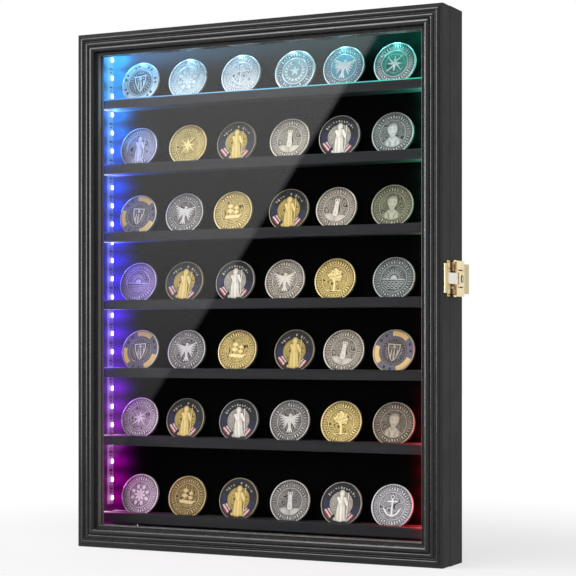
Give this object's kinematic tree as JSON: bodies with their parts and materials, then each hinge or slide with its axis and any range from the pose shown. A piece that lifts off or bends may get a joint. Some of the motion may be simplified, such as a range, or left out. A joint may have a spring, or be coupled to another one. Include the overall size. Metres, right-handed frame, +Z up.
{
  "type": "coin display case",
  "caption": "Shallow black wooden wall case with a moulded glazed door, grooved shelves of standing coins, light strips and a brass draw latch.",
  "frame": {"origin": "on the underside of the case, midway across its width and midway through the depth of box and door together", "axes": "+Z up, +X to the right as seen from the front, -Y towards the viewer"},
  "size_m": [0.362, 0.0482, 0.46],
  "materials": {
    "black_lacquer": "satin black paint over moulded wood",
    "shelf_black": "matt black paint",
    "hardboard": "dark hardboard",
    "lining": "black short-pile lining",
    "coin_metal": "struck metal, gold and silver toned",
    "strip": "white flexible strip",
    "lamp": "lit lamp package",
    "clear_pane": "clear polished pane",
    "black_rubber": "matt",
    "zinc_steel": "zinc plate",
    "brass": "polished brass plate"
  },
  "bodies": {
    "case": {"side_panel_left": "black_lacquer", "side_panel_right": "black_lacquer", "top_panel": "black_lacquer", "bottom_panel": "black_lacquer", "back_panel": "hardboard", "back_lining": "lining", "lead_grommet": "black_rubber", "wall_bumpers": "black_rubber", "hanger_left": "zinc_steel", "hanger_right": "zinc_steel", "shelf_1": "shelf_black", "shelf_2": "shelf_black", "shelf_3": "shelf_black", "shelf_4": "shelf_black", "shelf_5": "shelf_black", "shelf_6": "shelf_black", "shelf_7": "shelf_black", "coin_row_1": "coin_metal", "coin_row_2": "coin_metal", "coin_row_3": "coin_metal", "coin_row_4": "coin_metal", "coin_row_5": "coin_metal", "coin_row_6": "coin_metal", "coin_row_7": "coin_metal", "light_strip_left": "strip", "light_strip_right": "strip", "lamps_left": "lamp", "lamps_right": "lamp", "light_strip_top": "strip", "lamps_top": "lamp", "case_leaf_lower": "brass", "case_leaf_upper": "brass", "hinge_pin_lower": "brass", "hinge_pin_upper": "brass", "latch_base": "brass", "latch_rivets": "brass"},
    "door": {"door_stile_left": "black_lacquer", "door_stile_right": "black_lacquer", "door_rail_bottom": "black_lacquer", "door_rail_top": "black_lacquer", "pane": "clear_pane", "pane_stop_bottom": "black_lacquer", "pane_stop_top": "black_lacquer", "pane_stop_left": "black_lacquer", "pane_stop_right": "black_lacquer", "door_leaf_lower": "brass", "door_leaf_upper": "brass", "latch_strike": "brass"},
    "lever": {"latch_lever": "brass", "claw_pin": "brass"},
    "claw": {"latch_claw": "brass"}
  },
  "joints": [
    {"name": "door_hinge", "type": "hinge", "parent": "case", "child": "door", "pos_m": [-0.1774, -0.00525, 0.23], "axis": [0, 0, -1], "range_deg": [0, 120]},
    {"name": "lever_lift", "type": "hinge", "parent": "case", "child": "lever", "pos_m": [0.1778, -0.0025, 0.2362], "axis": [0, 0, -1], "range_deg": [0, 85]},
    {"name": "claw_swing", "type": "hinge", "parent": "lever", "child": "claw", "pos_m": [0.1778, 0.0007, 0.2362], "axis": [0, 0, -1], "range_deg": [-93.5, 0]}
  ],
  "couplings": [
    {"joint": "claw_swing", "follows": "lever_lift", "ratio": -1.1}
  ]
}
